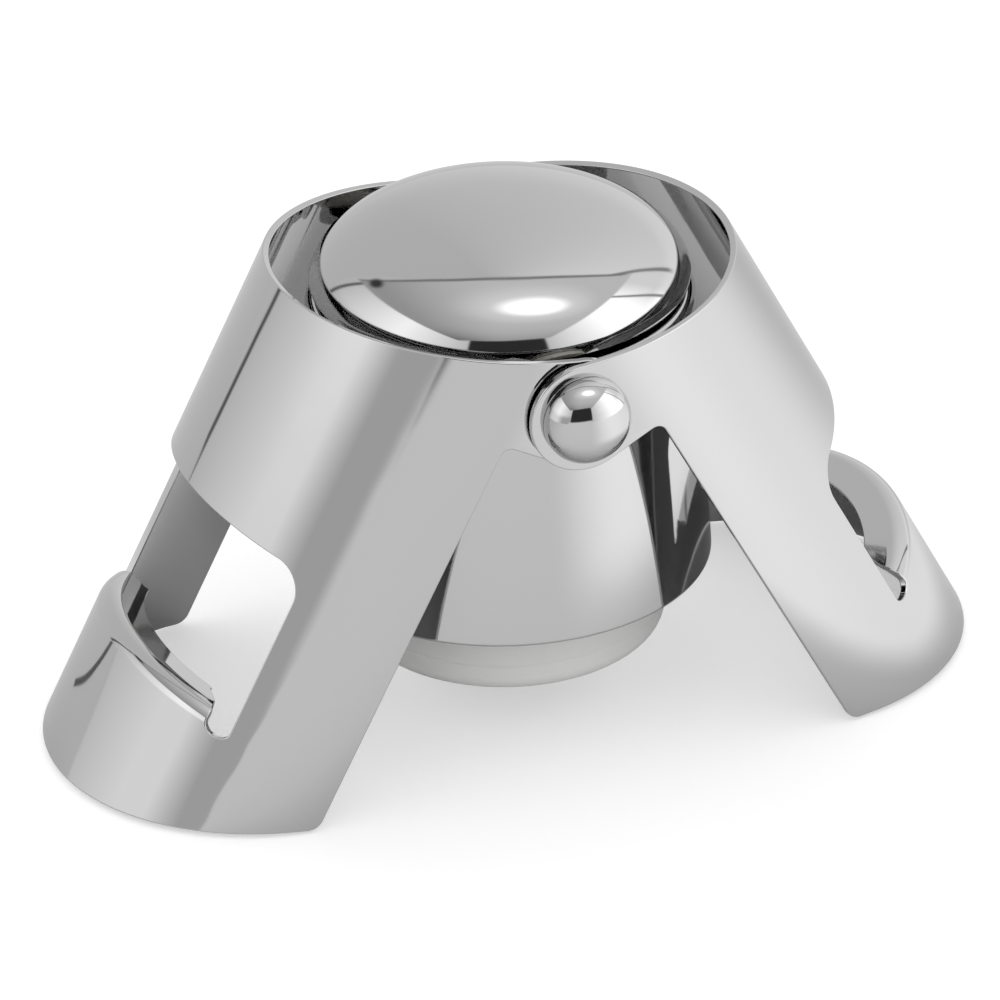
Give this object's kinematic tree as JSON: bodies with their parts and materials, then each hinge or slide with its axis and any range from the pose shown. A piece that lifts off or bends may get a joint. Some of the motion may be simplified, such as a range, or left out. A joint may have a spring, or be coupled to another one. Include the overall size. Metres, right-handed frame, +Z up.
{
  "type": "champagne stopper",
  "caption": "Sprung seal in a chromed bell, with hinged U-shaped arms whose turned-in lips hook under the collar of a sparkling wine bottle.",
  "frame": {"origin": "on the bell's axis, on the surface that the lower edges of the open arms stand on", "axes": "+X towards the right arm, +Y from the front hinge rivet to the back one, +Z up along the bell's axis"},
  "size_m": [0.0922, 0.0498, 0.0503],
  "materials": {
    "chrome": "polished bright chromium plate on steel",
    "steel": "plain stainless steel, as turned, stamped or wound",
    "silicone": "moulded pale grey silicone, satin",
    "gasket": "matt black rubber sheet",
    "plastic": "moulded acetal, fine matt",
    "nylon": "natural nylon, smooth"
  },
  "bodies": {
    "bell_body": {"bell": "chrome", "cap": "chrome", "cap_gasket": "gasket", "cap_screw": "steel", "screw_washer": "steel", "guide_sleeve": "plastic", "spring": "steel", "front_rivet": "chrome", "front_tail_washer": "steel", "front_spacer": "nylon", "front_lug_washer": "nylon", "back_rivet": "chrome", "back_tail_washer": "steel", "back_spacer": "nylon", "back_lug_washer": "nylon"},
    "right_arm_body": {"right_arm": "chrome"},
    "left_arm_body": {"left_arm": "chrome"},
    "seal_carrier": {"plunger": "plastic", "seal": "silicone", "seal_washer": "steel", "seal_screw": "steel"}
  },
  "joints": [
    {"name": "right_arm_hinge", "type": "hinge", "parent": "bell_body", "child": "right_arm_body", "pos_m": [0, 0, 0.03768], "axis": [0, 1, 0], "range_deg": [-45, 32]},
    {"name": "left_arm_hinge", "type": "hinge", "parent": "bell_body", "child": "left_arm_body", "pos_m": [0, 0, 0.03768], "axis": [0, -1, 0], "range_deg": [-45, 32]},
    {"name": "seal_press", "type": "slide", "parent": "bell_body", "child": "seal_carrier", "axis": [0, 0, 1], "range_m": [0, 0.003], "stiffness_N_per_m": 3000, "springref_m": -0.003, "deforming": ["spring"]}
  ]
}
